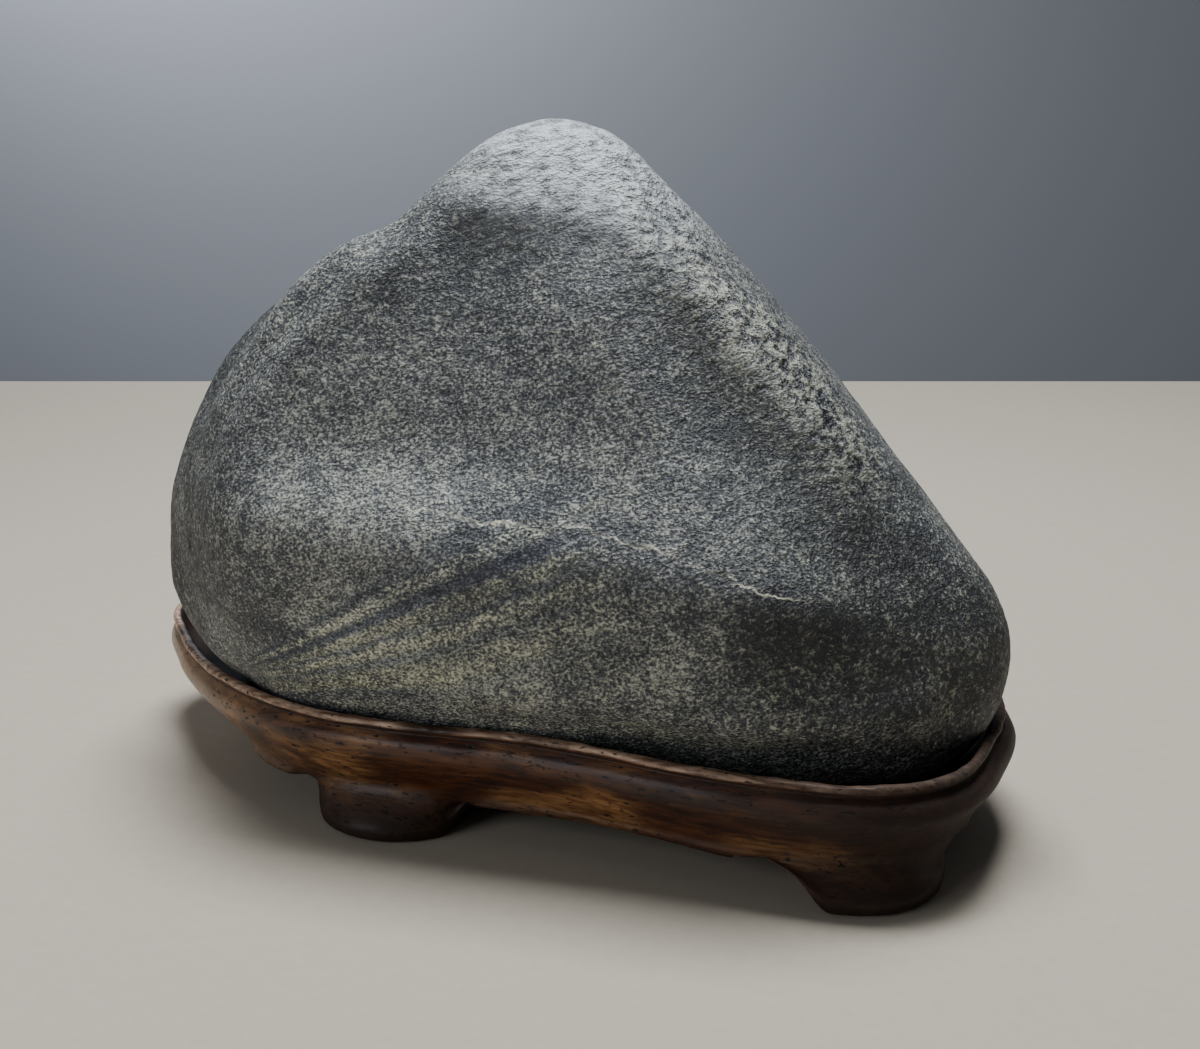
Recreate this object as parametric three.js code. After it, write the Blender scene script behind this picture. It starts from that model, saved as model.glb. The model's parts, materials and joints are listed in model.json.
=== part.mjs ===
// A scholar's rock on its carved wooden stand, in millimetres, +Z up, +Y to the back.
// The stone is one river-worn boulder shaped like a mountain. The stand is one block of
// hardwood, hollowed to seat the stone, with a beaded rim and four feet carved from the block.
import * as THREE from "three";

// ---- driving dimensions of the stone ----
const STONE_HEART = new THREE.Vector3(4, 6, 60); // the point that the stone's faces are measured from
const STONE_GRID = 16; // quads along each edge of the stone's six patches
const STONE_STRETCH = new THREE.Vector3(1.5, 0.85, 1); // evens the grid over the long body
// Each worn face looks towards a direction and stands a distance (mm) from the heart.
const FACES = [
  { name: "crown", towards: [-0.05, 0.05, 1], reach: 81 },
  { name: "crown_front", towards: [0.05, -0.55, 0.83], reach: 60 },
  { name: "front", towards: [0, -0.93, 0.37], reach: 45 },
  { name: "belly", towards: [0, -1, -0.08], reach: 49 },
  { name: "belly_left", towards: [-0.6, -0.8, 0.02], reach: 67 },
  { name: "belly_right", towards: [0.6, -0.8, -0.06], reach: 69 },
  { name: "under_front", towards: [0.05, -0.8, -0.6], reach: 52.5 },
  { name: "under_front_left", towards: [-0.52, -0.6, -0.6], reach: 71 },
  { name: "right_slope", towards: [0.72, 0.25, 0.65], reach: 56.5 },
  { name: "right_spine", towards: [0.64, -0.5, 0.58], reach: 55.5 },
  { name: "nose", towards: [0.99, 0, -0.1], reach: 92.5 },
  { name: "under_nose", towards: [0.66, 0, -0.75], reach: 91 },
  { name: "left_shoulder", towards: [-0.46, 0.1, 0.88], reach: 63.5 },
  { name: "left_fall", towards: [-0.73, 0.2, 0.67], reach: 75.5 },
  { name: "left_front", towards: [-0.62, -0.62, 0.48], reach: 66 },
  { name: "left_end", towards: [-1, 0, 0.02], reach: 91 },
  { name: "under_left", towards: [-0.75, -0.05, -0.66], reach: 86 },
  { name: "back_left_end", towards: [-0.84, 0.52, 0.12], reach: 79 },
  { name: "back_left", towards: [-0.42, 0.9, -0.04], reach: 54 },
  { name: "back", towards: [0.06, 1, 0.12], reach: 43 },
  { name: "back_right", towards: [0.5, 0.86, 0.06], reach: 57 },
  { name: "back_right_end", towards: [0.84, 0.54, -0.04], reach: 81 },
  { name: "back_slope", towards: [-0.06, 0.75, 0.66], reach: 49 },
  { name: "upper_back", towards: [0.12, 0.5, 0.86], reach: 64 },
  { name: "under_back", towards: [-0.08, 0.8, -0.6], reach: 52 },
  { name: "under_back_right", towards: [0.4, 0.6, -0.69], reach: 65 },
  { name: "bed", towards: [0, 0, -1], reach: 46.4 },
];
const FACE_SHARPNESS = 16; // higher keeps the edges between the faces crisper
// Swells stand out of the worn faces and hollows sink into them, each along a line between two
// points, with its spread and height in mm.
const SWELLS = [
  { name: "peak", from: [-5, 2, 131], to: [3, 2, 131], spread: 17, height: 8 },
  { name: "saddle", from: [-28, -4, 114], to: [-28, 20, 114], spread: 9, height: -2 },
  { name: "brow_hollow", from: [-4, -18, 112], to: [18, -15, 113], spread: 11, height: -3 },
  { name: "bowl", from: [0, -30, 85], to: [32, -34, 72], spread: 24, height: -4 },
  { name: "upper_spine", from: [20, -6, 121], to: [56, -10, 86], spread: 10, height: 2 },
  { name: "left_ridge", from: [-20, -14, 117], to: [-56, -23, 82], spread: 10, height: 2 },
  { name: "rear_valley", from: [-32, -6, 112], to: [-68, -12, 82], spread: 8, height: -2.5 },
  { name: "left_shelf", from: [-46, -34, 60], to: [-10, -39, 60], spread: 15, height: 2.5 },
  { name: "back_hollow", from: [-30, 46, 74], to: [-10, 48, 50], spread: 16, height: -3 },
  { name: "back_swell", from: [20, 44, 66], to: [40, 42, 44], spread: 18, height: 2.5 },
  { name: "right_swell", from: [24, -38, 52], to: [66, -30, 48], spread: 16, height: 1.5 },
];

// ---- driving dimensions of the stand ----
const RIM_HEIGHT = 25; // top of the rim above the table
const UNDERSIDE = 7.8; // height of the stand's belly above the table
const SEAT_FLOOR = 13; // lowest the hollow is cut
const FIT_GAP = 0.6; // clearance between the stone and its hollow
const STAND_ANGLES = 118; // sections round the stand
// The rim's outline in plan, anticlockwise from the right end: blunt there, tapered at the left.
const OUTLINE = [
  [92, -2], [91, 15], [80, 36], [50, 48], [0, 51], [-52, 47], [-86, 34], [-95, 14],
  [-82, -6], [-58, -27], [-30, -36.5], [10, -35], [52, -38.5], [77, -35], [88.5, -24],
];
const MIDDLE = new THREE.Vector3(0, 6, 0); // where the rings of the hollow and the underside close
// The stand's sections all face this level line along the middle of the stand.
const KEEL = new THREE.Line3(new THREE.Vector3(-42, 8, 0), new THREE.Vector3(46, 6, 0));
const FEET = [
  { name: "front_left", near: [-21, -37], halfWidth: 17 },
  { name: "front_right", near: [78, -34], halfWidth: 20 },
  { name: "back_right", near: [64, 45], halfWidth: 17 },
  { name: "back_left", near: [-60, 45], halfWidth: 17 },
];
const FOOT_DEPTH = 17; // from toe to heel
const FOOT_SIDE = 9; // how far along the rim a foot's side takes to rise into the wall
const ARCH_SIDE = 34; // how far along the rim the arch takes to come down to a foot
const ARCH_DROP = 1.6; // how far it comes down
const SEAT_RINGS = [0.92, 0.82, 0.7, 0.54, 0.36, 0.18]; // shares of the way out from the middle
const UNDER_RINGS = [0.35, 0.72];
const FITTED_RINGS = SEAT_RINGS.length + 3; // rings from the rim's inside on that follow the stone

const smooth = (t) => THREE.MathUtils.smoothstep(t, 0, 1);
const mix = THREE.MathUtils.lerp;

// ---- the stone ----
const faces = FACES.map(({ towards, reach }) => ({
  normal: new THREE.Vector3(...towards).normalize(),
  reach,
}));
const swells = SWELLS.map(({ from, to, spread, height }) => ({
  line: new THREE.Line3(new THREE.Vector3(...from), new THREE.Vector3(...to)),
  spread,
  height,
}));

// The stone's surface in a direction from its heart.
function stonePoint(direction) {
  const dir = direction.clone().normalize();
  let closeness = 0;
  for (const { normal, reach } of faces)
    closeness += Math.max(0, normal.dot(dir) / reach) ** FACE_SHARPNESS;
  const point = STONE_HEART.clone().addScaledVector(dir, closeness ** (-1 / FACE_SHARPNESS));
  const nearest = new THREE.Vector3();
  let lift = 0;
  for (const { line, spread, height } of swells) {
    line.closestPointToPoint(point, true, nearest);
    lift += height * Math.exp(-point.distanceToSquared(nearest) / spread ** 2);
  }
  return point.addScaledVector(dir, lift);
}

// The height of the stone's underside over a point of the plan, or Infinity beside the stone.
function stoneUnderside(x, y) {
  const insideStone = (z) => {
    const probe = new THREE.Vector3(x, y, z).sub(STONE_HEART);
    return probe.length() < stonePoint(probe).distanceTo(STONE_HEART);
  };
  let low = 0;
  let high = RIM_HEIGHT + 20;
  if (!insideStone(high)) return Infinity;
  for (let halving = 0; halving < 24; halving++) {
    const z = (low + high) / 2;
    if (insideStone(z)) high = z;
    else low = z;
  }
  return high;
}

function makeStone(material) {
  const geometry = new THREE.BoxGeometry(2, 2, 2, STONE_GRID, STONE_GRID, STONE_GRID);
  const position = geometry.getAttribute("position");
  const corner = new THREE.Vector3();
  for (let i = 0; i < position.count; i++) {
    corner.fromBufferAttribute(position, i);
    // the tangent spreads each patch's grid evenly over the sphere of directions
    corner.set(...corner.toArray().map((c) => Math.tan((c * Math.PI) / 4)));
    const { x, y, z } = stonePoint(corner.multiply(STONE_STRETCH));
    position.setXYZ(i, x, y, z);
  }
  geometry.computeVertexNormals();
  const stone = new THREE.Mesh(geometry, material);
  stone.name = "stone";
  return stone;
}

// ---- the stand ----
const outline = new THREE.CatmullRomCurve3(
  OUTLINE.map(([x, y]) => new THREE.Vector3(x, y, 0)),
  true,
  "centripetal",
);
outline.arcLengthDivisions = 2000;
const PERIMETER = outline.getLength();

// How far along the rim the point nearest to a place in plan lies.
function alongRim(place) {
  const samples = 1000;
  let best = 0;
  let bestDistance = Infinity;
  for (let i = 0; i < samples; i++) {
    const distance = outline.getPointAt(i / samples).distanceTo(place);
    if (distance < bestDistance) {
      best = i;
      bestDistance = distance;
    }
  }
  return (best / samples) * PERIMETER;
}

const feet = FEET.map(({ near, halfWidth }) => ({
  middle: alongRim(new THREE.Vector3(...near, 0)),
  halfWidth,
}));

// 1 on a foot, falling to 0 over the given length along the rim beside it.
function footShare(along, side) {
  let share = 0;
  for (const { middle, halfWidth } of feet) {
    const apart = Math.abs(((along - middle + 1.5 * PERIMETER) % PERIMETER) - 0.5 * PERIMETER);
    share = Math.max(share, smooth(1 - (apart - halfWidth + FOOT_SIDE / 2) / side));
  }
  return share;
}

// One cut through the wall, from the underside round the outside to the top of the hollow:
// each station is how far inside the outline it lies, and its height.
function wallSection(along, leftward, rightward) {
  const share = footShare(along, FOOT_SIDE);
  const arch = UNDERSIDE - ARCH_DROP * footShare(along, ARCH_SIDE);
  const onFoot = (besideFoot, foot) => mix(besideFoot, foot, share);
  const tuck = 4 + 14 * leftward; // how far the wall's foot tucks under the rim
  const swell = 0.8 + 1.4 * rightward; // how far the wall swells past the rim
  const toe = onFoot(tuck, 1 + 0.75 * (tuck - 4));
  const heel = toe + FOOT_DEPTH;
  return [
    [heel + 4, UNDERSIDE],
    [heel, onFoot(arch, 1)],
    [heel - 1.5, onFoot(arch, 0)],
    [toe + 2, onFoot(arch, 0)],
    [toe + 0.4, onFoot(arch + 0.2, 0.8)],
    [toe, onFoot(arch + 0.7, 2.6)],
    [onFoot(tuck - 0.4, toe + 1.2), onFoot(arch + 1.3, 5)],
    [tuck * 0.92, 9.9],
    [tuck * 0.55, 12.6],
    [tuck * 0.2 - 0.35 * swell, 15.4],
    [-swell, 18.4],
    [-0.6 * swell, 21],
    [0.5, RIM_HEIGHT - 2.6],
    [0.9, RIM_HEIGHT - 2],
    [0.3, RIM_HEIGHT - 1.4],
    [0, RIM_HEIGHT - 0.7],
    [0.5, RIM_HEIGHT],
    [1.7, RIM_HEIGHT],
    [2.3, RIM_HEIGHT - 0.8],
    [2.7, RIM_HEIGHT - 3],
    [4.2, RIM_HEIGHT - 6],
  ];
}

// One column of points from the middle of the underside, round the wall, to the hollow's middle.
function standColumn(at) {
  const edge = outline.getPointAt(at);
  const inward = KEEL.closestPointToPoint(edge, true, new THREE.Vector3()).sub(edge).normalize();
  const leftward = smooth(inward.x) * Math.max(0, inward.x);
  const rightward = Math.max(0, -inward.x) ** 2;
  const wall = wallSection(at * PERIMETER, leftward, rightward).map(([inset, z]) =>
    edge.clone().addScaledVector(inward, inset).setZ(z),
  );
  const ring = (start, share, z) => MIDDLE.clone().lerp(start, share).setZ(z);
  const top = wall[wall.length - 1];
  const column = [
    ...UNDER_RINGS.map((share) => ring(wall[0], share, UNDERSIDE)),
    ...wall,
    ...SEAT_RINGS.map((share) => ring(top, share, mix(SEAT_FLOOR, top.z, share ** 4))),
  ];
  for (const p of column.slice(-FITTED_RINGS)) p.z = Math.min(p.z, stoneUnderside(p.x, p.y) - FIT_GAP);
  return column;
}

function makeStand(material) {
  const columns = Array.from({ length: STAND_ANGLES }, (_, i) => standColumn(i / STAND_ANGLES));
  const rows = columns[0].length;
  const points = [...columns.flat(), MIDDLE.clone().setZ(UNDERSIDE), MIDDLE.clone().setZ(SEAT_FLOOR)];
  const under = points.length - 2;
  const seat = points.length - 1;
  const triangles = [];
  for (let i = 0; i < STAND_ANGLES; i++) {
    const here = i * rows;
    const next = ((i + 1) % STAND_ANGLES) * rows;
    triangles.push(under, next, here, here + rows - 1, next + rows - 1, seat);
    for (let j = 0; j < rows - 1; j++) {
      triangles.push(here + j, next + j, next + j + 1);
      triangles.push(here + j, next + j + 1, here + j + 1);
    }
  }
  const geometry = new THREE.BufferGeometry();
  geometry.setFromPoints(points);
  geometry.setIndex(triangles);
  geometry.computeVertexNormals();
  const stand = new THREE.Mesh(geometry, material);
  stand.name = "stand";
  return stand;
}

const stoneGrey = new THREE.MeshStandardMaterial({ color: 0x55584f, roughness: 0.75, metalness: 0 });
const darkWood = new THREE.MeshStandardMaterial({ color: 0x3b2013, roughness: 0.4, metalness: 0 });

const group = new THREE.Group();
group.add(makeStone(stoneGrey), makeStand(darkWood));
// The frame's origin is on the table, under the middle of the whole.
const box = new THREE.Box3().setFromObject(group);
const centre = box.getCenter(new THREE.Vector3());
group.position.set(-centre.x, -centre.y, -box.min.z);

export default group;
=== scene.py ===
"""A scholar's rock on its carved hardwood stand: its fine surfaces, its finishes and the studio round it."""
import json
import math

import bpy
import bmesh
import numpy as np
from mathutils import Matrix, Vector, noise

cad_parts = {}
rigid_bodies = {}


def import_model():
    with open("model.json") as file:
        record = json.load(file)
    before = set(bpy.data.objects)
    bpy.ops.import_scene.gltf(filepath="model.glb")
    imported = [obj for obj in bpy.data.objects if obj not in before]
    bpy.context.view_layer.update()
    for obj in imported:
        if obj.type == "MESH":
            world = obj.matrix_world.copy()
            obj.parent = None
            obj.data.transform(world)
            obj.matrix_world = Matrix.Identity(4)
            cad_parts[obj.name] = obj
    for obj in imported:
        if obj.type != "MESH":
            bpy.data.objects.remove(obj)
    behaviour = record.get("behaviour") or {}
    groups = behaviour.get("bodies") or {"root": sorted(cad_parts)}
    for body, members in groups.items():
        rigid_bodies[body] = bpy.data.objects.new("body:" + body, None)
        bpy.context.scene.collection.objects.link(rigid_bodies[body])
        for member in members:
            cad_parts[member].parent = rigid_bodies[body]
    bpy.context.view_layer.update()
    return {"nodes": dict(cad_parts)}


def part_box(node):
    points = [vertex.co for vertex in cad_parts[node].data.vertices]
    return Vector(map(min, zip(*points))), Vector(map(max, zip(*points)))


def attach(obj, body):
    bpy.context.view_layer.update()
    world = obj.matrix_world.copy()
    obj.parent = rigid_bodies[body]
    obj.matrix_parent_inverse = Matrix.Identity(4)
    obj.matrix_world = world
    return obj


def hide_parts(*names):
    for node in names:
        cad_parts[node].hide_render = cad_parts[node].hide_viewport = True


# whatever the file opened with would count as a piece
for leftover in list(bpy.data.objects):
    bpy.data.objects.remove(leftover)
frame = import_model()

MM = 0.001  # of a metre

# ---- the view and the stage, in metres where nothing else is said ----
LENS = 50.0  # mm
SENSOR = 36.0  # mm
CAMERA_AT = Vector((121.8, -302.1, 142.0)) * MM
CAMERA_DOWN = 15.1  # degrees below level
CAMERA_ROUND = 20.0  # degrees towards the stone's low end
TABLE_BEHIND = 0.6  # how far behind the camera the table starts
TABLE_REACH = 0.79  # how far from the camera it ends
BACKDROP_REACH = 1.5
STAGE_HALF_WIDTH = 1.6
BACKDROP_HALF_HEIGHT = 0.9

# ---- the stone's surface, in mm ----
STONE_VOXEL = 0.88  # size of the fine mesh's squares
SMOOTHING = 8  # passes that relax the remeshed surface
SEATED_BELOW = 27.0  # round this height raised roughness fades out, so that the stone clears its seat
STROKES = np.array((0.906, 0.0, 0.423))  # the way the hackly ridge's chips run, rising to the right
CHIP_STRETCH = 0.55  # 0 leaves the chips as wide as long, and nearer 1 draws them out further that way

# ---- the stand's surface ----
UNDERSIDE_SHARES = (0.35, 0.7)  # rings of the flat underside, as shares of the way out to its edge
WALL_RINGS = 21  # rings from the edge of the underside up the wall and over the rim
SEAT_RINGS = 6  # rings of the dished seat
HEEL_RING = 4  # the feet's inner edge, counted from the underside's middle
TOE_RING = 7  # their outer edge
BELLY_HEIGHT = 7.8  # the stand's underside above the table, in mm
FOOT_REACH = 30.0  # how far from a foot's place its sides may lie, in mm
# Each foot: its name, place in plan, radius, how far it stands out and its half widths to either side, in mm
FEET = (
    ("front_left", (-21, -37), 16.5, 2.6, 12.5, 12.5),
    ("front_right", (78, -34), 18.0, 0.8, 10.0, 17.0),
    ("back_right", (64, 45), 17.0, 1.2, 13.0, 13.0),
    ("back_left", (-60, 45), 17.0, 1.2, 13.0, 13.0),
)
FINER = 4  # fine points to each interval of the stand's grid
# Bands round the stand, by ring: where each begins, is in full, begins to end and has ended
WALL_BAND = (5.5, 7.0, 14.0, 15.0)
GROOVE_BAND = (14.4, 15.2, 15.6, 16.2)
BEAD_BAND = (15.6, 16.6, 19.4, 20.6)
CREST_BAND = (16.3, 17.1, 18.7, 19.3)
INSIDE_RIM = (18.6, 19.4)  # begins and is in full: the rim's inner side and the seat


# ---------------------------------------------------------------- helpers
def fractal(points, size, octaves=3, seed=0.0):
    """Smooth noise at each point, about -1 to 1, with features about size mm across."""
    shift = Vector((seed * 17.3, seed * 5.1, seed * 9.7))
    return np.array([noise.fractal(Vector(p) / size + shift, 1.0, 2.0, octaves) for p in points])


def cells(points, size, seed=0.0):
    """How far each point is from the nearest of scattered seeds, in seed spacings, and that seed's chance."""
    shift = Vector((seed * 7.7, seed * 3.9, seed * 12.1))
    near = [noise.voronoi(Vector(p) / size + shift) for p in points]
    far = np.array([d[0] for d, _ in near])
    chance = np.array([noise.cell(at[0] * 7.31) for _, at in near])
    return far, chance


def ease(x, low, high):
    """0 below low, 1 above high and smooth between."""
    t = np.clip((x - low) / (high - low), 0.0, 1.0)
    return t * t * (3.0 - 2.0 * t)


def band(x, begins, full, ends, ended):
    """1 inside a band and 0 outside it, smooth at both edges."""
    return ease(x, begins, full) * (1.0 - ease(x, ends, ended))


def near_path(points, path, spread):
    """1 on a path through the given places, fading over spread mm."""
    return np.exp(-((path_distance(points, path) / spread) ** 2))


def path_distance(points, path):
    """How far each point is from a path of straight stretches, in mm."""
    best = np.full(len(points), 1e9)
    for a, b in zip(path[:-1], path[1:]):
        a, b = np.array(a, float), np.array(b, float)
        along = b - a
        t = np.clip(((points - a) @ along) / max(along @ along, 1e-9), 0.0, 1.0)
        best = np.minimum(best, np.linalg.norm(points - a - t[:, None] * along, axis=1))
    return best


def mesh_points(mesh):
    """The mesh's vertices in mm."""
    co = np.empty(len(mesh.vertices) * 3)
    mesh.vertices.foreach_get("co", co)
    return co.reshape(-1, 3) / MM


def mesh_normals(mesh):
    """The way each vertex of the mesh faces."""
    mesh.update()
    co = np.empty(len(mesh.vertices) * 3)
    mesh.vertices.foreach_get("normal", co)
    return co.reshape(-1, 3)


def set_points(mesh, points):
    """Moves the mesh's vertices to places in mm."""
    mesh.vertices.foreach_set("co", (points * MM).ravel())
    mesh.update()


def paint(mesh, name, values):
    """Keeps one number for each vertex, which the finish reads by name."""
    layer = mesh.attributes.new(name, "FLOAT", "POINT")
    layer.data.foreach_set("value", np.clip(values, 0.0, 1.0).astype(np.float32))


def relax(mesh, passes, strength=0.5):
    """Moves each vertex towards its neighbours' middle."""
    points = mesh_points(mesh)
    ends = np.empty(len(mesh.edges) * 2, np.int64)
    mesh.edges.foreach_get("vertices", ends)
    a, b = ends.reshape(-1, 2).T
    count = len(points)
    links = np.bincount(a, minlength=count) + np.bincount(b, minlength=count)
    for _ in range(passes):
        total = np.empty_like(points)
        for axis in range(3):
            total[:, axis] = np.bincount(a, points[b, axis], count)
            total[:, axis] += np.bincount(b, points[a, axis], count)
        points += strength * (total / links[:, None] - points)
    set_points(mesh, points)


def settled(obj, name):
    """The object's mesh with its modifiers applied, as a new object."""
    dg = bpy.context.evaluated_depsgraph_get()
    mesh = bpy.data.meshes.new_from_object(obj.evaluated_get(dg))
    mesh.name = name
    bpy.data.objects.remove(obj)
    return new_object(name, mesh)


def new_object(name, mesh):
    """A mesh placed in the scene."""
    obj = bpy.data.objects.new(name, mesh)
    bpy.context.scene.collection.objects.link(obj)
    return obj


def merged_copy(node):
    """A CAD node's mesh with its loose triangles joined."""
    mesh = node.data.copy()
    bm = bmesh.new()
    bm.from_mesh(mesh)
    bmesh.ops.remove_doubles(bm, verts=bm.verts, dist=1e-6)
    bm.to_mesh(mesh)
    bm.free()
    mesh.materials.clear()
    return mesh


def smooth_shade(mesh):
    mesh.polygons.foreach_set("use_smooth", [True] * len(mesh.polygons))
    mesh.update()


# ---------------------------------------------------------------- the stone
def stone_place(u, v, w):
    """A place in the stone's box, in mm: u runs left to right, v front to back and w bottom to top."""
    low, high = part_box("stone")
    return tuple((low[i] + (high[i] - low[i]) * t) / MM for i, t in enumerate((u, v, w)))


def stone_marks(points):
    """Where the stone's marks lie: for each kind of mark, one number for each point."""
    spine = near_path(points, SPINE, 8.5)
    dome = near_path(points, DOME, 12.5)
    broad = fractal(points, 22.0, 3, 1.0)
    small = fractal(points, 7.0, 3, 2.0)

    # dark and pale layers run up to the right across the lower left, numbered from the top one down
    x, y, z = points.T
    in_front = y < 0.0
    banded = near_path(points, LAYERED, 15.0) * in_front
    top, middle, bottom = [np.interp(x, *np.array(line).T) for line in LAYER_LINES]
    above = 1.0 - (z - middle) / (top - middle)
    below = 1.0 + (middle - z) / (middle - bottom)
    layer = (np.where(z > middle, above, below) + 1.0) / 5.0 + 0.012 * small

    # veins wander along the break in the slope
    on_vein = (z - np.interp(x, *np.array(VEIN_LINE).T)) / 10.0 + 0.5
    on_vein += 0.06 * fractal(points, 7.0, 3, 5.0)
    veined = 0.3 * band(x, -18, -8, 58, 70)
    for low, high in VEIN_SPANS:
        veined = np.maximum(veined, band(x, low - 3.0, low + 3.0, high - 4.0, high + 3.0))
    veined *= in_front

    blotch = np.zeros(len(points))
    for path, spread in BLOTCHES:
        places = [stone_place(*p) for p in path]
        blotch = np.maximum(blotch, near_path(points + 4.0 * small[:, None], places, spread))
    blotch *= ease(small + 0.4 * broad, -0.5, 0.35)

    # painted shade, partly the stone's own darker tone
    dark = np.zeros(len(points))
    for path, spread, depth in DARKER_AND_SHADED:
        dark = np.maximum(dark, depth * near_path(points + 5.0 * broad[:, None], path, spread))
    # painted highlight where the shelf and the ridge face the light, and a paler belly
    pale = np.zeros(len(points))
    for path, spread, height in PALER_AND_HIGHLIT:
        pale = np.maximum(pale, height * near_path(points + 4.0 * broad[:, None], path, spread))

    return {
        "spine": spine,
        "dome": dome,
        "layer": layer,
        "banded": banded,
        "on_vein": on_vein,
        "veined": veined,
        "blotch": blotch,
        "dark": dark,
        "pale": pale,
        "broad": 0.5 + 0.5 * broad,
    }


# The crest of the hackly ridge, the dome and the layered part of the front, as paths in mm.
SPINE = ((25, -8, 119), (31, -10, 113), (44, -12, 101), (54, -12, 91), (63, -13, 78))
DOME = ((2, -8, 129), (14, -8, 128), (23, -7, 122))
LAYERED = ((-38, -44, 30), (-10, -45, 42), (14, -43, 56))
# Darker areas of the stone, mostly painted shade under the brow, beside the ridge, along the edges, at the
# ends and under the belly, partly its own darker tone, and paler areas, partly a painted highlight where the
# shelf and the ridge's upper side face the light: a path in mm, how far it spreads and how strong it is.
DARKER_AND_SHADED = (
    (((-6, -22, 112), (4, -21, 113), (15, -20, 112)), 9.0, 0.75),
    (((-6, -19, 116), (7, -19, 115.5), (19, -18, 113)), 6.0, 0.95),
    (((28, -23, 104), (38, -25, 94), (48, -25, 83), (58, -24, 71)), 8.0, 0.65),
    (((-56, -8, 97), (-72, -8, 80), (-80, -12, 62)), 13.0, 0.7),
    (((-20, -28, 104), (-2, -26, 104)), 10.0, 0.4),
    (((-50, -40, 62), (-50, -42, 46)), 9.0, 0.6),
    (((62, -38, 50), (80, -24, 44), (90, -4, 38)), 15.0, 0.9),
    (((-80, -14, 66), (-76, -18, 44), (-66, -28, 34)), 11.0, 0.85),
    (((26, -44, 34), (60, -38, 30), (84, -16, 30)), 12.0, 0.2),
    (((64, -22, 70), (76, -20, 56), (84, -14, 48)), 12.0, 0.95),
    (((-66, -23, 70), (-62, -31, 61), (-60, -34, 46)), 8.0, 0.9),
    (((92, -12, 42), (94, 0, 34), (90, -12, 28)), 12.0, 1.0),
)
PALER_AND_HIGHLIT = (
    (((-42, -43, 64), (-22, -42, 66), (-2, -40, 68)), 8.0, 1.0),
    (((24, -14, 117), (36, -16, 107), (46, -17, 96)), 6.0, 0.8),
    (((-30, -45, 42), (0, -45, 42), (34, -44, 40)), 10.0, 1.0),
)
# Worn swells and hollows: what it is, its path in mm, how far it spreads and how far it stands out.
FORM = (
    ("saddle", ((-23, -22, 116), (-26, 6, 115), (-27, 30, 109)), 6.0, -1.8),
    (
        "rear_crease",
        ((-21, -22, 116), (-31, -28, 105), (-43, -31, 94), (-53, -33, 81), (-59, -33, 70)),
        3.0,
        -1.0,
    ),
    ("front_left_ridge", ((-19, -25, 113), (-30, -31, 101), (-42, -35, 89), (-50, -38, 77)), 5.0, 0.7),
    ("dome_left", ((-6, -8, 131), (4, 0, 132)), 11.0, 1.1),
    ("dome_right", ((26, -4, 118), (36, -4, 110)), 11.0, -1.9),
    ("brow", ((-8, -18, 119), (3, -19, 118.5), (14, -18, 118.5), (22, -17, 116)), 4.5, 1.1),
    ("brow_hollow", ((-6, -23, 111), (2, -23, 110)), 8.0, -0.5),
    ("under_brow", ((10, -22, 110), (20, -21, 109)), 8.0, 0.8),
    ("bowl", ((2, -30, 96), (14, -32, 88), (26, -34, 80)), 19.0, -1.3),
    (
        "spine_crest",
        ((22, -16, 116), (25, -18, 113), (39, -18, 103), (48, -18.5, 92), (56, -19, 81.5), (66, -20.5, 68)),
        4.5,
        1.5,
    ),
    ("beside_crest", ((32, -24, 101), (41, -26, 90), (50, -27, 79)), 7.0, -0.7),
    ("shelf_hollow", ((-34, -40, 76), (-18, -40, 76), (0, -38, 76)), 9.0, -1.8),
    ("break_left", ((-40, -45, 60), (-20, -46, 61), (4, -44, 60)), 8.0, 1.0),
    ("break_right", ((20, -42, 62), (38, -43, 59), (50, -43, 57), (64, -36, 54)), 6.0, 1.2),
    ("under_break", ((24, -44, 50), (44, -44, 47), (60, -39, 45)), 7.0, -1.0),
    ("low_front", ((4, -45, 34), (34, -44, 34), (62, -38, 34), (80, -26, 34)), 5.2, 2.4),
    ("left_end", ((-82, 0, 66), (-83, 4, 50)), 22.0, -1.8),
    ("over_nose", ((80, 8, 62), (68, 12, 74)), 10.0, -1.7),
    ("low_left", ((-74, -16, 38), (-70, -20, 33), (-60, -27, 31)), 7.0, 2.1),
    ("nose", ((92, -6, 34), (92, -2, 38)), 10.0, 1.1),
)
# Three of the stone's layers where they show on its front, each as x and z in mm, from the top one down.
LAYER_LINES = (
    ((-60, 24), (-31, 40.4), (-9, 53), (9, 63), (30, 72)),
    ((-60, 25), (-35, 33), (-6, 43.7), (17, 53.7), (40, 64)),
    ((-60, 20), (-27, 29.7), (0, 33.7), (28, 47.7), (50, 56)),
)
# The veins' line as x and z in mm, and the stretches of x where it shows.
VEIN_LINE = (
    (-14, 67.6),
    (-3, 67.1),
    (3, 66.0),
    (16, 65.2),
    (22, 66.5),
    (31, 64.7),
    (38, 63.7),
    (49, 60.5),
    (55, 58.1),
    (63, 55.9),
)
VEIN_SPANS = ((-13, -3), (3, 15), (20, 39), (49, 62))
# Blue-black blotches: a path as shares of the stone's box, and how far it spreads in mm.
BLOTCHES = (
    (((0.64, 0.02, 0.28), (0.72, 0.03, 0.34), (0.78, 0.05, 0.36)), 5.0),
    (((0.82, 0.1, 0.33), (0.88, 0.16, 0.28)), 6.0),
    (((0.72, 0.2, 0.56), (0.75, 0.12, 0.47)), 4.0),
    (((0.9, 0.3, 0.42), (0.96, 0.4, 0.34)), 8.0),
    (((0.2, 0.06, 0.4), (0.25, 0.03, 0.26)), 9.0),
)


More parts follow.
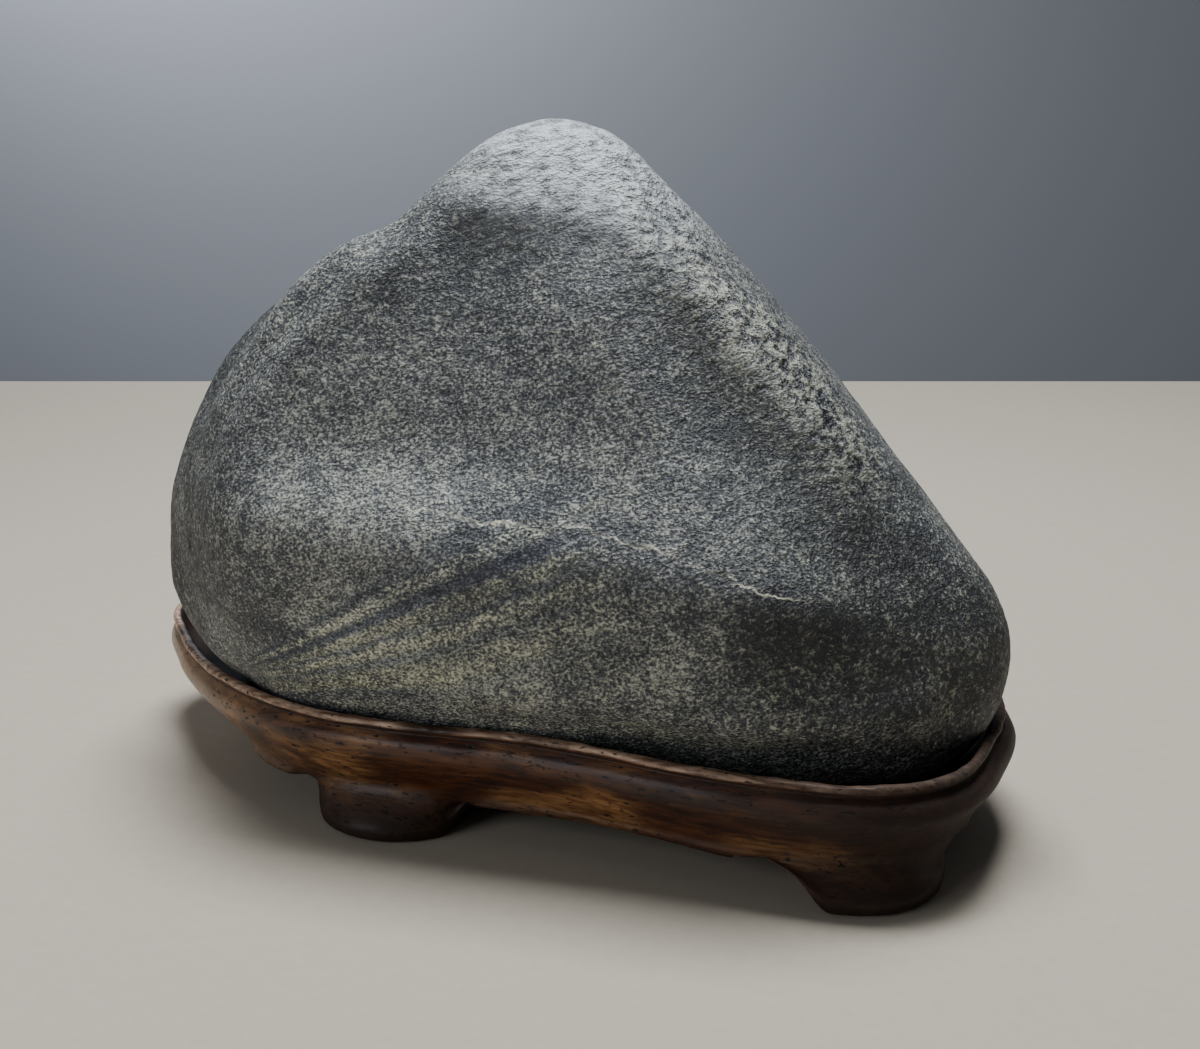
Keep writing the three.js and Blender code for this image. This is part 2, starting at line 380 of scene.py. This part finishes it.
def worn_surface(points, marks):
    """How far the stone's surface stands out of the smooth form, in mm."""
    chipped = points - CHIP_STRETCH * (points @ STROKES)[:, None] * STROKES
    rough = np.clip(marks["spine"] + 0.5 * marks["dome"], 0.0, 1.0)
    out = 0.45 * fractal(points, 34.0, 2, 3.0)
    out += 0.16 * fractal(points, 9.0, 3, 4.0)
    out += (0.05 + 0.36 * rough) * fractal(chipped, 2.6, 3, 7.0)
    out += 0.05 * fractal(points, 1.8, 2, 8.0)
    far, chance = cells(points, 4.2, 1.0)
    pitted = ease(chance + 0.55 * rough, 0.82, 1.0)
    out -= 0.55 * pitted * (1.0 - ease(far, 0.08, 0.34))
    far, chance = cells(chipped, 2.6, 2.0)
    out -= 0.22 * ease(chance + 0.4 * rough, 0.8, 1.0) * (1.0 - ease(far, 0.05, 0.4))
    seated = ease(points[:, 2], SEATED_BELOW - 6.0, SEATED_BELOW + 8.0)
    return np.where(out > 0.0, out * seated, out)


def make_viewing_stone():
    """The CAD stone made even and smooth, then worn, chipped and marked."""
    obj = new_object("viewing_stone", merged_copy(frame["nodes"]["stone"]))
    rounder = obj.modifiers.new("rounder", "SUBSURF")
    rounder.levels = rounder.render_levels = 2
    even = obj.modifiers.new("even", "REMESH")
    even.mode = "VOXEL"
    even.voxel_size = STONE_VOXEL * MM
    obj = settled(obj, "viewing_stone")
    mesh = obj.data
    relax(mesh, SMOOTHING)
    points = mesh_points(mesh)
    normals = mesh_normals(mesh)
    for _, path, spread, height in FORM:
        points += normals * (height * near_path(points, path, spread))[:, None]
    set_points(mesh, points)
    marks = stone_marks(points)
    set_points(mesh, points + mesh_normals(mesh) * worn_surface(points, marks)[:, None])
    for name, values in marks.items():
        paint(mesh, name, values)
    smooth_shade(mesh)
    return obj


# ---------------------------------------------------------------- the stand
def stand_grid(node):
    """The stand's points as rings of columns, from its underside to its seat, and its two closing points."""
    bm = bmesh.new()
    bm.from_mesh(merged_copy(node))
    near = {v: {e.other_vert(v) for e in v.link_edges} for v in bm.verts}
    by_links = sorted(bm.verts, key=lambda v: -len(near[v]))
    under, seat = sorted(by_links[:2], key=lambda v: v.co.z)
    spokes = near[seat]
    ring = [max(spokes, key=lambda v: v.co.x)]
    ring.append(max(near[ring[0]] & spokes, key=lambda v: v.co.y))
    while len(ring) < len(spokes):
        ring.append(next(v for v in near[ring[-1]] & spokes if v != ring[-2]))
    rings, done = [ring], {seat, *ring}
    while len(rings) < SEAT_RINGS + WALL_RINGS:
        ring = [next(iter(near[a] & near[b] - done)) for a, b in zip(ring, ring[1:] + ring[:1])]
        rings.append(ring)
        done.update(ring)
    grid = np.array([[tuple(v.co) for v in ring] for ring in reversed(rings)]) / MM
    ends = np.array([tuple(under.co), tuple(seat.co)]) / MM
    bm.free()
    inner = [ends[0] + (grid[0] - ends[0]) * share for share in UNDERSIDE_SHARES]
    return np.concatenate([np.array(inner), grid]), ends


def finer_round(grid, times):
    """More columns, on a smooth curve through each ring."""
    before, after, next_but_one = (np.roll(grid, shift, 1) for shift in (1, -1, -2))
    steps = []
    for k in range(times):
        t = k / times
        steps.append(
            0.5
            * (
                2.0 * grid
                + (after - before) * t
                + (2.0 * before - 5.0 * grid + 4.0 * after - next_but_one) * t**2
                + (3.0 * grid - before - 3.0 * after + next_but_one) * t**3
            )
        )
    return np.stack(steps, 2).reshape(len(grid), -1, 3)


def finer_rings(grid, times):
    """More rings, on a smooth curve through each column that keeps close spacings crisp."""
    first = 2.0 * grid[:1] - grid[1:2]
    last = 2.0 * grid[-1:] - grid[-2:-1]
    p = np.concatenate([first, grid, last])
    gap = np.maximum(np.linalg.norm(np.diff(p, axis=0), axis=2, keepdims=True), 1e-6) ** 0.5
    rings = []
    for j in range(1, len(p) - 2):
        p0, p1, p2, p3 = p[j - 1 : j + 3]
        t1 = gap[j - 1]
        t2 = t1 + gap[j]
        t3 = t2 + gap[j + 1]
        for k in range(times):
            t = t1 + (t2 - t1) * k / times
            a1 = (t1 - t) / t1 * p0 + t / t1 * p1
            a2 = (t2 - t) / (t2 - t1) * p1 + (t - t1) / (t2 - t1) * p2
            a3 = (t3 - t) / (t3 - t2) * p2 + (t - t2) / (t3 - t2) * p3
            b1 = (t2 - t) / t2 * a1 + t / t2 * a2
            b2 = (t3 - t) / (t3 - t1) * a2 + (t - t1) / (t3 - t1) * a3
            rings.append((t2 - t) / (t2 - t1) * b1 + (t - t1) / (t2 - t1) * b2)
    rings.append(grid[-1])
    return np.stack(rings)


def round_feet(grid):
    """Rounds the four feet in plan and draws in their sides."""
    toe, heel = grid[TOE_RING * FINER, :, :2].copy(), grid[HEEL_RING * FINER, :, :2].copy()
    ring = np.arange(len(grid))[:, None] / FINER
    front = ease(ring, HEEL_RING + 0.1, HEEL_RING + 0.9) * (1.0 - ease(grid[:, :, 2], 4.0, 10.0))
    for _, near, radius, bulge, left, right in FEET:
        apart = np.hypot(*(toe - near).T)
        k = np.argmin(apart)
        out = toe[k] - heel[k]
        out /= np.linalg.norm(out)
        side = np.array((-out[1], out[0]))
        middle = toe[k] - out * (radius - bulge)
        s, q = (toe - middle) @ side, (toe - middle) @ out
        close = (apart < FOOT_REACH) & (q > 0.0)
        shift = np.clip(np.sqrt(np.maximum(radius**2 - s**2, 0.0)) - q, -5.0, bulge)
        shift *= close * (1.0 - ease(np.abs(s), radius, radius + 5.0))
        grid[:, :, :2] += (front * shift)[:, :, None] * out
        lift = close * np.where(s < 0.0, ease(-s, left, left + 7.0), ease(s, right, right + 7.0))
        low = np.clip(BELLY_HEIGHT - grid[:, :, 2], 0.0, None)
        grid[:, :, 2] += low * lift
    return grid


def grid_mesh(name, grid, ends):
    """A closed mesh of rings of columns, closed by a point at either end."""
    rings, columns = grid.shape[:2]
    points = np.concatenate([grid.reshape(-1, 3), ends])
    under, seat = len(points) - 2, len(points) - 1
    i = np.arange(columns)
    n = (i + 1) % columns
    faces = [(under, int(b), int(a)) for a, b in zip(i, n)]
    top = (rings - 1) * columns
    faces += [(int(a) + top, int(b) + top, seat) for a, b in zip(i, n)]
    for j in range(rings - 1):
        low, high = j * columns, (j + 1) * columns
        faces += [(int(a) + low, int(b) + low, int(b) + high, int(a) + high) for a, b in zip(i, n)]
    mesh = bpy.data.meshes.new(name)
    mesh.from_pydata((points * MM).tolist(), [], faces)
    mesh.update()
    return mesh


def make_carved_stand():
    """The CAD stand on finer curves, with rounded feet, a hand-cut rim and the marks of the gouge."""
    grid, ends = stand_grid(frame["nodes"]["stand"])
    grid = round_feet(finer_rings(finer_round(grid, FINER), FINER))
    rings, columns = grid.shape[:2]
    rim_height = grid[:, :, 2].max()

    # the hand-cut rim rises and falls a little
    rim_share = ease(grid[:, :, 2], rim_height - 6.0, rim_height - 1.0)
    around = grid.reshape(-1, 3) * np.array([1.0, 1.0, 0.0])
    sway = 0.45 * fractal(around, 30.0, 2, 11.0) + 0.15 * fractal(around, 9.0, 2, 12.0)
    grid[:, :, 2] += (sway.reshape(rings, columns) - 0.25) * rim_share

    # the wall keeps the shallow facets of the gouge, and the bead has small nicks
    mesh = grid_mesh("carved_stand", grid, ends)
    points = mesh_points(mesh)
    ring = np.append(np.repeat(np.arange(rings) / FINER, columns), [0.0, rings / FINER])
    on_wall = band(ring, *WALL_BAND)
    on_bead = band(ring, *BEAD_BAND)
    far, _ = cells(points * np.array([0.45, 0.45, 1.0]), 5.0, 21.0)
    out = on_wall * (0.10 * (far - 0.5) + 0.16 * fractal(points, 14.0, 2, 22.0))
    far, chance = cells(points, 2.4, 23.0)
    nick = ease(chance, 0.7, 0.95) * (1.0 - ease(far, 0.1, 0.4))
    out += on_bead * (0.2 * fractal(points, 5.0, 2, 24.0) - 0.35 * nick)
    out[ring < HEEL_RING + 1] = 0.0
    points += mesh_normals(mesh) * out[:, None]
    points[:, 2] = np.maximum(points[:, 2], 0.0)
    set_points(mesh, points)

    # a painted highlight along the rim's crest over its bare wood, a painted reflection at the left end, wear
    # patches painted lighter at the left end and darker to the right, and painted shade low down, in the
    # groove, to the right and inside the rim
    rubbed_and_lit = fractal(points * np.array([0.4, 1.0, 1.0]), 9.0, 3, 25.0)
    patches = fractal(points, 26.0, 2, 26.0)
    low = 1.0 - ease(points[:, 2], 3.0, 13.0)
    left_end, right_end = ease(-points[:, 0], 35.0, 80.0), ease(points[:, 0], 30.0, 85.0)
    # painted highlight on the crest, in patches, fading out towards the right end where less light falls
    crest_bare_and_lit = ease(rubbed_and_lit + 0.5 * patches, -0.7, 0.25) * (1.0 - 0.9 * right_end)
    paint(mesh, "crest", band(ring, *CREST_BAND) * crest_bare_and_lit * (1.0 - 0.8 * nick))
    # painted reflection towards the left end, where the wood catches the table's light
    painted_reflection = ease(-points[:, 0], 30.0, 72.0) * (1.0 - 0.8 * low) * (0.75 + 0.25 * rubbed_and_lit)
    paint(mesh, "painted_reflection", on_wall * painted_reflection)
    # wear patches, painted lighter towards the left end and darker towards the right as the light falls
    worn_and_lit = ease(rubbed_and_lit + 0.6 * patches + 1.9 * left_end - 0.7 * right_end, -0.1, 0.7)
    paint(mesh, "rubbed_and_lit", on_wall * worn_and_lit * (1.0 - 0.7 * low))
    shaded = np.maximum(0.8 * band(ring, *GROOVE_BAND), 0.85 * low)
    shaded = np.maximum(shaded, 0.95 * right_end) + ease(ring, *INSIDE_RIM)
    paint(mesh, "shaded", shaded)
    smooth_shade(mesh)
    return new_object("carved_stand", mesh)


# ---------------------------------------------------------------- finishes
class Finish:
    """A material and short ways to add and join its nodes."""

    def __init__(self, name):
        self.material = bpy.data.materials.new(name)
        self.material.use_nodes = True
        self.nodes = self.material.node_tree.nodes
        self.links = self.material.node_tree.links
        self.nodes.clear()
        self.out = self.node("ShaderNodeOutputMaterial")
        self.shader = self.node("ShaderNodeBsdfPrincipled")
        self.join(self.shader.outputs["BSDF"], self.out.inputs["Surface"])
        self.place = self.node("ShaderNodeTexCoord").outputs["Object"]

    def node(self, kind, **settings):
        """A new node with its settings."""
        node = self.nodes.new(kind)
        for key, value in settings.items():
            setattr(node, key, value)
        return node

    def join(self, source, target):
        """Joins an output to an input."""
        self.links.new(source, target)

    def put(self, target, value):
        """Sets a socket to a value, or joins it if the value is another node's output."""
        if isinstance(value, bpy.types.NodeSocket):
            self.join(value, target)
        else:
            target.default_value = value

    def mark(self, name):
        """A number kept on the mesh."""
        return self.node("ShaderNodeAttribute", attribute_name=name).outputs["Fac"]

    def maths(self, operation, a, b=0.0, clamp=False):
        """A Math node's result."""
        node = self.node("ShaderNodeMath", operation=operation, use_clamp=clamp)
        self.put(node.inputs[0], a)
        self.put(node.inputs[1], b)
        return node.outputs[0]

    def plus(self, a, b):
        return self.maths("ADD", a, b)

    def minus(self, a, b):
        return self.maths("SUBTRACT", a, b)

    def times(self, a, b):
        return self.maths("MULTIPLY", a, b)

    def remap(self, value, low, high, to_low=0.0, to_high=1.0):
        """The value carried smoothly from one range to another."""
        node = self.node("ShaderNodeMapRange", interpolation_type="SMOOTHSTEP")
        self.put(node.inputs["Value"], value)
        node.inputs["From Min"].default_value = low
        node.inputs["From Max"].default_value = high
        node.inputs["To Min"].default_value = to_low
        node.inputs["To Max"].default_value = to_high
        return node.outputs["Result"]

    def mix(self, share, a, b, blend="MIX"):
        """One colour laid over another by a share from 0 to 1."""
        node = self.node("ShaderNodeMix", data_type="RGBA", blend_type=blend, clamp_factor=True)
        self.put(node.inputs[0], share)
        self.put(node.inputs[6], a)
        self.put(node.inputs[7], b)
        return node.outputs[2]

    def stretched(self, lengths, rise=0.0):
        """Places drawn out by three lengths, the first along a line rising to the right by rise degrees."""
        node = self.node("ShaderNodeMapping", vector_type="TEXTURE")
        self.join(self.place, node.inputs["Vector"])
        node.inputs["Scale"].default_value = lengths
        node.inputs["Rotation"].default_value = (0.0, -math.radians(rise), 0.0)
        return node.outputs["Vector"]

    def noise(self, scale, detail=3.0, roughness=0.55, where=None, distortion=0.0):
        """Smooth noise from 0 to 1, with about scale features to the metre."""
        node = self.node("ShaderNodeTexNoise")
        self.join(where or self.place, node.inputs["Vector"])
        node.inputs["Scale"].default_value = scale
        node.inputs["Detail"].default_value = detail
        node.inputs["Roughness"].default_value = roughness
        node.inputs["Distortion"].default_value = distortion
        return node.outputs["Fac"]

    def ramp(self, value, stops):
        """The colour at the value along a row of stops."""
        node = self.node("ShaderNodeValToRGB")
        self.put(node.inputs[0], value)
        slots = node.color_ramp.elements
        while len(slots) < len(stops):
            slots.new(0.5)
        for slot, (at, colour) in zip(slots, stops):
            slot.position = at
            slot.color = (*colour, 1.0)
        return node.outputs["Color"]

    def bump(self, height, distance, strength=1.0, under=None):
        """Relief of the given depth in metres, on top of the relief under it."""
        node = self.node("ShaderNodeBump")
        self.join(height, node.inputs["Height"])
        node.inputs["Distance"].default_value = distance
        node.inputs["Strength"].default_value = strength
        if under is not None:
            self.join(under, node.inputs["Normal"])
        return node.outputs["Normal"]


# From nearly black grains to pale ones, by how pale the stone is at a place.
STONE_TONES = (
    (0.40, (0.012, 0.014, 0.022)),
    (0.465, (0.052, 0.057, 0.066)),
    (0.515, (0.125, 0.132, 0.132)),
    (0.565, (0.24, 0.245, 0.222)),
    (0.64, (0.52, 0.52, 0.46)),
)
# What each layer does to the stone's colour, from the top one down: 0.5 leaves it as it is.
LAYER_TONES = (
    (0.09, (0.5, 0.5, 0.5)),
    (0.135, (0.15, 0.18, 0.27)),
    (0.165, (0.26, 0.29, 0.36)),
    (0.19, (0.88, 0.87, 0.78)),
    (0.225, (0.76, 0.75, 0.66)),
    (0.25, (0.06, 0.08, 0.16)),
    (0.285, (0.22, 0.25, 0.33)),
    (0.31, (0.6, 0.59, 0.5)),
    (0.345, (0.5, 0.5, 0.45)),
    (0.37, (0.22, 0.25, 0.32)),
    (0.395, (0.7, 0.69, 0.61)),
    (0.43, (0.6, 0.59, 0.52)),
    (0.46, (0.25, 0.28, 0.34)),
    (0.5, (0.5, 0.5, 0.45)),
    (0.57, (0.65, 0.64, 0.53)),
    (0.61, (0.3, 0.33, 0.38)),
    (0.66, (0.5, 0.5, 0.5)),
)
# The waxed wood from its darkest fibre to its palest.
WOOD_TONES = (
    (0.34, (0.01, 0.003, 0.002)),
    (0.46, (0.034, 0.01, 0.004)),
    (0.56, (0.075, 0.024, 0.008)),
    (0.72, (0.13, 0.05, 0.018)),
)
OLIVE_FROM, OLIVE_TO = 0.035, 0.075  # the heights between which the olive cast fades out, in metres


class StoneGrain:
    """The scales of pattern that the stone's colour, gloss and relief share."""

    def __init__(self, f):
        self.strokes = f.stretched((1.2, 1.0, 0.9), 14.0)
        self.grain = f.noise(2000.0, 2.0, 0.65, self.strokes)
        self.clumps = f.noise(850.0, 2.0, 0.55, self.strokes)
        self.spots = f.noise(260.0, 2.0, 0.6, self.strokes)
        self.hackle = f.noise(420.0, 3.0, 0.6, f.stretched((2.1, 1.0, 0.8), 24.0))


def stone_paleness(f, g):
    """How pale the stone is at each place, as a place on the row of stone tones."""
    value = f.plus(f.times(g.grain, 0.7), f.times(g.clumps, 0.2))
    value = f.plus(value, f.times(g.spots, 0.1))
    value = f.plus(value, f.times(f.minus(f.mark("broad"), 0.5), 0.05))
    mottle = f.minus(f.noise(150.0, 3.0, 0.6), 0.5)
    value = f.plus(value, f.times(mottle, 0.16))
    # painted shade, partly the stone's own darker tone, with coarser grain there
    value = f.minus(value, f.times(f.mark("dark"), 0.07))
    coarse = f.times(f.minus(g.clumps, 0.5), f.times(f.mark("dark"), 0.4))
    value = f.plus(value, coarse)
    patchy = f.remap(f.noise(150.0, 4.0, 0.65, g.strokes), 0.45, 0.53)
    value = f.minus(value, f.times(f.times(f.mark("blotch"), patchy), 0.07))
    # painted highlight on the shelf and the ridge, and a paler belly
    value = f.plus(value, f.times(f.mark("pale"), 0.046))
    # painted highlight on the dome, partly its own paler wear
    value = f.plus(value, f.times(f.mark("dome"), 0.05))
    chipped = f.maths("ADD", f.mark("spine"), f.times(f.mark("dome"), 0.7), clamp=True)
    return f.plus(value, f.times(chipped, f.remap(g.hackle, 0.38, 0.6, -0.055, 0.055)))


def stone_layers(f, g, colour):
    """The dark and pale layers laid over the stone's colour."""
    wavering = f.plus(f.mark("layer"), f.times(f.minus(g.clumps, 0.5), 0.05))
    shade = f.mix(1.0, colour, f.ramp(wavering, LAYER_TONES), "MULTIPLY")
    shade = f.mix(1.0, shade, (2.0, 2.0, 2.0, 1.0), "MULTIPLY")
    return f.mix(f.mark("banded"), colour, shade)


def stone_veins(f, g, colour):
    """Thin pale veins, broken here and there, laid over the stone's colour."""
    wander = f.times(f.minus(f.noise(260.0, 3.0, 0.65), 0.5), 0.42)
    off = f.maths("ABSOLUTE", f.plus(f.minus(f.mark("on_vein"), 0.5), wander))
    vein = f.times(f.remap(off, 0.01, 0.034, 1.0, 0.0), f.mark("veined"))
    vein = f.times(vein, f.remap(g.spots, 0.4, 0.52, 0.3, 1.0))
    return f.mix(vein, colour, (0.62, 0.6, 0.48, 1.0))


def stone_colour(f, g):
    colour = f.ramp(stone_paleness(f, g), STONE_TONES)
    # painted shade darkens the colour further, partly the stone's own darker tone
    colour = f.mix(f.mark("dark"), colour, (0.56, 0.57, 0.52, 1.0), "MULTIPLY")
    # an olive cast on the lower belly
    parts = f.node("ShaderNodeSeparateXYZ")
    f.join(f.place, parts.inputs[0])
    lower = f.remap(parts.outputs["Z"], OLIVE_FROM, OLIVE_TO, 1.0, 0.0)
    cast = f.times(lower, f.remap(f.noise(45.0, 3.0), 0.3, 0.6))
    colour = f.mix(f.times(cast, 0.45), colour, (0.94, 0.94, 0.8, 1.0), "MULTIPLY")
    # painted highlight: the dome's lit side is laid cool white, partly its own paler wear, and the ridge's
    # chips are pale and yellowish, partly a painted highlight on their upper faces
    worn_and_lit = f.times(f.mark("dome"), f.remap(g.hackle, 0.38, 0.58, 0.22, 0.85))
    colour = f.mix(worn_and_lit, colour, (0.74, 0.79, 0.86, 1.0))
    # painted highlight on the chips' upper faces, partly their own pale colour
    chips = f.times(f.mark("spine"), f.remap(g.hackle, 0.46, 0.6))
    colour = f.mix(f.times(chips, 0.58), colour, (0.5, 0.51, 0.41, 1.0))
    return stone_veins(f, g, stone_layers(f, g, colour))


def river_stone():
    """Fine dark and pale grains in a water-worn satin stone."""
    f = Finish("river_stone")
    g = StoneGrain(f)
    f.join(stone_colour(f, g), f.shader.inputs["Base Color"])
    # smoother on the dome and along the ridge
    rough = f.remap(f.noise(420.0, 3.0), 0.3, 0.7, 0.5, 0.68)
    polished = f.plus(f.times(f.mark("dome"), 0.24), f.times(f.mark("spine"), 0.14))
    f.join(f.minus(rough, polished), f.shader.inputs["Roughness"])
    f.shader.inputs["Specular IOR Level"].default_value = 0.6
    # coarse chips under the fine grain
    rugged = f.plus(f.times(f.mark("spine"), 1.6), f.plus(f.mark("dome"), 0.25))
    chips = f.bump(f.times(g.hackle, rugged), 0.0014)
    fine = f.plus(f.times(g.grain, 0.5), f.times(g.clumps, 0.5))
    f.join(f.bump(fine, 0.001, 1.0, chips), f.shader.inputs["Normal"])
    return f.material


def waxed_hardwood():
    """Dark waxed wood, honey-coloured in patches of wear and showing pale wood along the rim's crest, with a
    painted highlight along the crest, a painted reflection at the left end and painted shade low down, to the
    right and inside the rim.
    """
    f = Finish("waxed_hardwood")
    along = f.stretched((7.0, 1.0, 1.0))
    fibre = f.noise(1000.0, 6.0, 0.6, along, 0.3)
    figure = f.noise(190.0, 3.0, 0.5, along, 1.2)
    patches = f.noise(38.0, 3.0, 0.5)
    pores = f.remap(f.noise(1500.0, 2.0, 0.5, f.stretched((3.0, 1.0, 1.0))), 0.31, 0.38)
    streaks = f.remap(fibre, 0.35, 0.65)
    colour = f.ramp(f.plus(f.times(fibre, 0.55), f.times(figure, 0.45)), WOOD_TONES)
    honey = f.mix(streaks, (0.11, 0.042, 0.013, 1.0), (0.3, 0.15, 0.058, 1.0))
    # honey-coloured wear patches, partly painted light at the left end and painted shade at the right
    colour = f.mix(f.times(f.mark("rubbed_and_lit"), f.remap(patches, 0.34, 0.58)), colour, honey)
    # painted reflection at the left end, laid pale tan
    colour = f.mix(f.times(f.mark("painted_reflection"), 0.5), colour, (0.4, 0.29, 0.205, 1.0))
    colour = f.mix(f.times(f.mark("shaded"), 0.85), colour, (0.012, 0.006, 0.004, 1.0))
    # painted highlight along the crest, over its bare wood
    bare_and_highlit = f.mix(streaks, (0.16, 0.08, 0.045, 1.0), (0.6, 0.42, 0.3, 1.0))
    colour = f.mix(f.times(f.mark("crest"), 0.9), colour, bare_and_highlit)
    colour = f.mix(pores, (0.004, 0.003, 0.003, 1.0), colour)
    f.join(colour, f.shader.inputs["Base Color"])
    rough = f.plus(f.remap(patches, 0.3, 0.7, 0.3, 0.5), f.times(f.mark("shaded"), 0.4))
    f.join(rough, f.shader.inputs["Roughness"])
    f.shader.inputs["Specular IOR Level"].default_value = 0.35
    f.shader.inputs["Coat Weight"].default_value = 0.08
    f.shader.inputs["Coat Roughness"].default_value = 0.2
    relief = f.bump(fibre, 0.0002, 0.35)
    f.join(f.bump(pores, 0.00025, 0.5, relief), f.shader.inputs["Normal"])
    return f.material


def pale_floor():
    f = Finish("pale_floor")
    colour = f.mix(f.noise(300.0, 2.0), (0.44, 0.39, 0.318, 1.0), (0.50, 0.445, 0.366, 1.0))
    f.join(colour, f.shader.inputs["Base Color"])
    f.shader.inputs["Roughness"].default_value = 0.9
    return f.material


def grey_wall():
    f = Finish("grey_wall")
    f.shader.inputs["Base Color"].default_value = (0.285, 0.298, 0.335, 1.0)
    f.shader.inputs["Roughness"].default_value = 0.9
    return f.material


# ---------------------------------------------------------------- the studio
def make_camera():
    data = bpy.data.cameras.new("camera")
    data.lens = LENS
    data.sensor_width = SENSOR
    data.clip_start = 0.01
    camera = bpy.data.objects.new("camera", data)
    camera.location = CAMERA_AT
    camera.rotation_euler = (math.radians(90.0 - CAMERA_DOWN), 0.0, math.radians(CAMERA_ROUND))
    bpy.context.scene.collection.objects.link(camera)
    bpy.context.scene.camera = camera


def soft_light(name, at, size, power, colour, aim=(0.0, 0.0, 0.06)):
    """A lamp with a broad face, turned towards the place it is aimed at."""
    data = bpy.data.lights.new(name, "AREA")
    data.shape = "RECTANGLE"
    data.size, data.size_y = size
    data.energy = power
    data.color = colour
    lamp = bpy.data.objects.new(name, data)
    lamp.location = at
    lamp.rotation_euler = (Vector(aim) - Vector(at)).to_track_quat("-Z", "Y").to_euler()
    bpy.context.scene.collection.objects.link(lamp)


def make_studio():
    """A table and a backdrop square to the camera's heading, three lights and a dim grey surround."""
    turn = math.radians(CAMERA_ROUND)
    away = Vector((-math.sin(turn), math.cos(turn), 0.0))
    half = Vector((away.y, -away.x, 0.0)) * STAGE_HALF_WIDTH
    foot = Vector((CAMERA_AT.x, CAMERA_AT.y, 0.0))
    near, far = foot - away * TABLE_BEHIND, foot + away * TABLE_REACH
    sheet("floor", (near - half, near + half, far + half, far - half), pale_floor())
    back, lift = foot + away * BACKDROP_REACH, Vector((0.0, 0.0, BACKDROP_HALF_HEIGHT))
    low, high = back - lift, back + lift
    sheet("backdrop", (low - half, low + half, high + half, high - half), grey_wall())
    soft_light("overhead", (-0.02, 0.1, 0.72), (0.38, 0.32), 8.8, (0.93, 0.97, 1.0))
    soft_light("window", (-0.45, -0.75, 0.3), (0.5, 0.5), 2.3, (0.92, 0.96, 1.0))
    soft_light("backdrop_light", (-0.7, 0.85, 0.6), (0.6, 0.5), 9.5, (0.92, 0.96, 1.0), (-0.6, 1.25, 0.2))
    world = bpy.data.worlds.new("studio")
    world.use_nodes = True
    sky = world.node_tree.nodes["Background"]
    sky.inputs["Color"].default_value = (0.66, 0.68, 0.72, 1.0)
    sky.inputs["Strength"].default_value = 0.11
    bpy.context.scene.world = world


def sheet(name, corners, material):
    """A flat staged sheet behind or under the object."""
    mesh = bpy.data.meshes.new(name)
    mesh.from_pydata([tuple(c) for c in corners], [], [(0, 1, 2, 3)])
    obj = new_object(name, mesh)
    mesh.materials.append(material)


def finish_piece(piece, node, material):
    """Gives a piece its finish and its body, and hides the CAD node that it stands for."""
    piece.data.materials.append(material)
    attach(piece, "root")
    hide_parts(node)


make_camera()
make_studio()
finish_piece(make_viewing_stone(), "stone", river_stone())
finish_piece(make_carved_stand(), "stand", waxed_hardwood())
